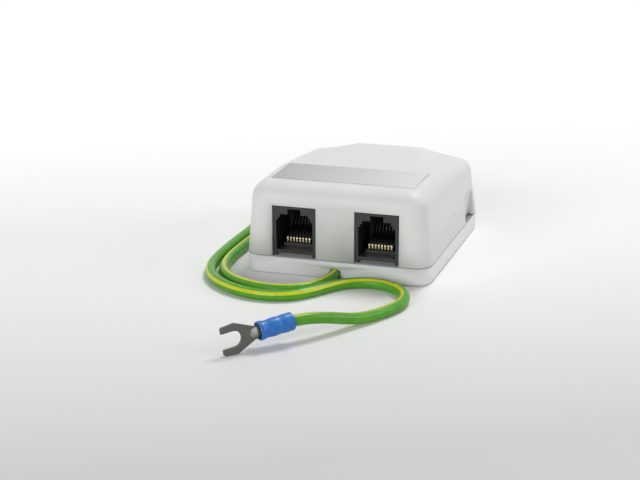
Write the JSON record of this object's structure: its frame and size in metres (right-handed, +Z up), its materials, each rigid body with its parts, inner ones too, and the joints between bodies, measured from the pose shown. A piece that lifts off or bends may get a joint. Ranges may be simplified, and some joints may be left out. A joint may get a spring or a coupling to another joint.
{
  "type": "ethernet surge protector",
  "caption": "Surface-mount box with modular sockets that clamps surges on a network line and leads them to earth through a lead with a fork terminal",
  "frame": {"origin": "middle of the underside of the box", "axes": "X to the right along the socket side, Y towards the rear, Z up out of the underside"},
  "size_m": [0.0797, 0.1826, 0.0291],
  "materials": {
    "base_plastic": "fine satin moulded white plastic",
    "cover_plastic": "fine satin moulded white plastic",
    "label_film": "satin silver-grey film",
    "board_laminate": "green glass-fibre laminate",
    "screw_steel": "zinc-plated steel",
    "socket_plastic": "black moulded plastic",
    "contact_gold": "gold-plated spring wire",
    "arrester_ceramic": "pale ceramic with metal end caps",
    "component_black": "black epoxy moulding",
    "resistor_body": "tan lacquered drum",
    "fuse_body": "amber dipped coating",
    "lead_insulation": "green and yellow striped insulation",
    "core_copper": "bare stranded copper",
    "solder": "bright solder",
    "tinned_copper": "dull tinned copper",
    "sleeve_plastic": "blue insulating sleeve"
  },
  "bodies": {
    "root": {"base": "base_plastic", "cover": "cover_plastic", "label_strip": "label_film", "circuit_board": "board_laminate", "board_screws": "screw_steel", "socket_left": "socket_plastic", "socket_right": "socket_plastic", "insert_left": "socket_plastic", "insert_right": "socket_plastic", "contacts_left": "contact_gold", "contacts_right": "contact_gold", "gas_arresters": "arrester_ceramic", "diode_bridges": "component_black", "clamping_diodes": "component_black", "line_resistors": "resistor_body", "line_fuses": "fuse_body", "lead_clamp": "base_plastic", "clamp_screws": "screw_steel", "lead_tail": "lead_insulation", "lead_core": "core_copper", "earth_joint": "solder", "earth_lead": "lead_insulation", "lead_end": "core_copper", "fork_terminal": "tinned_copper", "terminal_sleeve": "sleeve_plastic"}
  },
  "joints": []
}
